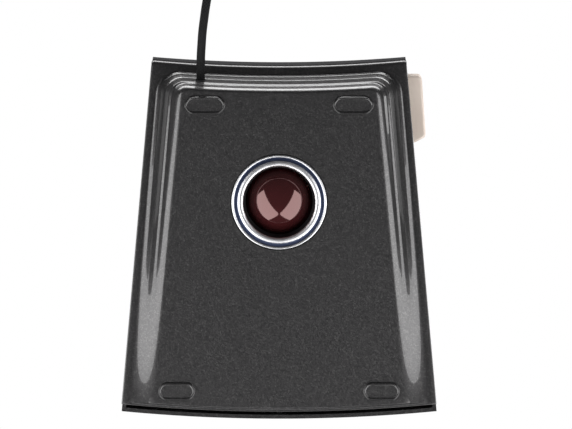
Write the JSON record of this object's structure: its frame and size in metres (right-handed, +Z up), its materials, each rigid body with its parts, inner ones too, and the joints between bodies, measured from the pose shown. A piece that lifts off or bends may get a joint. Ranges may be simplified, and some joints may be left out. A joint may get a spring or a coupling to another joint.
{
  "type": "computer mouse",
  "caption": "Wedge-shaped corded ball mouse with a fan-shaped body, stepped pan on four pads, ball in a polished ring, two top buttons and a thumb button.",
  "frame": {"origin": "centre of the body's footprint, on the plane that the four feet stand on, without the free cord", "axes": "+Z up, +Y to the front where the cord leaves, -X to the thumb side"},
  "size_m": [0.1058, 0.1927, 0.0332],
  "materials": {
    "shell_grey": "gloss metallic paint",
    "cream_plastic": "satin moulded",
    "polished_ring": "polished with dark blue groove",
    "black_plastic": "fine moulded grain",
    "ball_maroon": "high gloss",
    "steel": "turned",
    "white_plastic": "natural moulded",
    "board_green": "solder resist",
    "lamp_clear": "clear epoxy",
    "lamp_dark": "dark epoxy",
    "brass": "plated",
    "braid_black": "fine braided sleeve",
    "tie_black": "matt"
  },
  "bodies": {
    "root": {"lower_tray": "shell_grey", "top_cover": "shell_grey", "ball_cage": "black_plastic", "controller_chip": "black_plastic", "left_switch": "black_plastic", "right_switch": "black_plastic", "thumb_switch": "black_plastic", "plug_boot": "black_plastic", "plug_body": "black_plastic", "cord_grommet": "black_plastic", "button_hinge_rod": "steel", "thumb_pivot_pin": "steel", "idler_pin": "steel", "crystal": "steel", "board_screw_1": "steel", "board_screw_2": "steel", "board_screw_3": "steel", "cage_screw_1": "steel", "cage_screw_2": "steel", "plug_shell": "steel", "forward_bearing_near": "white_plastic", "forward_bearing_far": "white_plastic", "sideways_bearing_near": "white_plastic", "sideways_bearing_far": "white_plastic", "lead_header": "white_plastic", "circuit_board": "board_green", "thumb_board": "board_green", "forward_emitter": "lamp_clear", "sideways_emitter": "lamp_clear", "forward_detector": "lamp_dark", "sideways_detector": "lamp_dark", "capacitor": "lamp_dark", "plug_insert": "brass", "cord": "braid_black", "cord_coil": "braid_black", "cord_end": "braid_black", "internal_lead": "braid_black", "coil_tie": "tie_black"},
    "ball_core": {"ball_core": "steel"},
    "ball_skin": {"ball_skin": "ball_maroon"},
    "forward_encoder": {"forward_shaft": "steel", "forward_roller": "black_plastic", "forward_slot_wheel": "black_plastic"},
    "sideways_encoder": {"sideways_shaft": "steel", "sideways_roller": "black_plastic", "sideways_slot_wheel": "black_plastic"},
    "idler_arm": {"idler_arm": "black_plastic", "idler_axle": "steel", "idler_spring": "steel"},
    "idler_roller": {"idler_roller": "white_plastic"},
    "left_button": {"left_button": "cream_plastic"},
    "right_button": {"right_button": "cream_plastic"},
    "thumb_button": {"thumb_button": "cream_plastic"},
    "left_plunger": {"left_plunger": "white_plastic"},
    "right_plunger": {"right_plunger": "white_plastic"},
    "thumb_plunger": {"thumb_plunger": "white_plastic"},
    "retainer": {"retaining_ring": "polished_ring", "ball_retainer": "black_plastic"}
  },
  "joints": [
    {"name": "ball_roll_forward", "type": "hinge", "parent": "root", "child": "ball_core", "pos_m": [0, 0.0128, 0.01235], "axis": [1, 0, 0], "continuous": true},
    {"name": "ball_roll_sideways", "type": "hinge", "parent": "ball_core", "child": "ball_skin", "pos_m": [0, 0.0128, 0.01235], "axis": [0, 1, 0], "continuous": true},
    {"name": "forward_encoder_spin", "type": "hinge", "parent": "root", "child": "forward_encoder", "pos_m": [0, -0.002, 0.01235], "axis": [1, 0, 0], "continuous": true},
    {"name": "sideways_encoder_spin", "type": "hinge", "parent": "root", "child": "sideways_encoder", "pos_m": [0.0148, 0.0128, 0.01235], "axis": [0, 1, 0], "continuous": true},
    {"name": "idler_swing", "type": "hinge", "parent": "root", "child": "idler_arm", "pos_m": [-0.01937, 0.01874, 0.01235], "axis": [0, 0, 1], "range_deg": [0, 5], "stiffness_Nm_per_rad": 0.02, "springref_deg": -5.73},
    {"name": "idler_spin", "type": "hinge", "parent": "idler_arm", "child": "idler_roller", "pos_m": [-0.01032, 0.02312, 0.01235], "axis": [0.7071, 0.7071, 0], "continuous": true},
    {"name": "left_button_press", "type": "hinge", "parent": "root", "child": "left_button", "pos_m": [0, 0.017, 0.0272], "axis": [-1, 0, 0], "range_deg": [0, 1.5], "stiffness_Nm_per_rad": 0.3, "springref_deg": -3.44},
    {"name": "right_button_press", "type": "hinge", "parent": "root", "child": "right_button", "pos_m": [0, 0.017, 0.0272], "axis": [-1, 0, 0], "range_deg": [0, 1.5], "stiffness_Nm_per_rad": 0.3, "springref_deg": -3.44},
    {"name": "thumb_button_press", "type": "hinge", "parent": "root", "child": "thumb_button", "pos_m": [-0.0406, 0.0324, 0.0211], "axis": [0, 0, -1], "range_deg": [0, 2.5], "stiffness_Nm_per_rad": 0.1, "springref_deg": -3.44},
    {"name": "left_plunger_slide", "type": "slide", "parent": "root", "child": "left_plunger", "axis": [0, 0, -1], "range_m": [0, 0.0007]},
    {"name": "right_plunger_slide", "type": "slide", "parent": "root", "child": "right_plunger", "axis": [0, 0, -1], "range_m": [0, 0.0007]},
    {"name": "thumb_plunger_slide", "type": "slide", "parent": "root", "child": "thumb_plunger", "axis": [1, 0, 0], "range_m": [0, 0.0007]},
    {"name": "retainer_twist", "type": "hinge", "parent": "root", "child": "retainer", "pos_m": [0, 0.0128, 0.001], "axis": [0, 0, 1], "range_deg": [0, 30]}
  ],
  "couplings": [
    {"joint": "forward_encoder_spin", "follows": "ball_roll_forward", "ratio": -5.5909},
    {"joint": "sideways_encoder_spin", "follows": "ball_roll_sideways", "ratio": -5.5909},
    {"joint": "left_plunger_slide", "follows": "left_button_press", "m_per_rad": 0.021},
    {"joint": "right_plunger_slide", "follows": "right_button_press", "m_per_rad": 0.021},
    {"joint": "thumb_plunger_slide", "follows": "thumb_button_press", "m_per_rad": 0.0116}
  ]
}
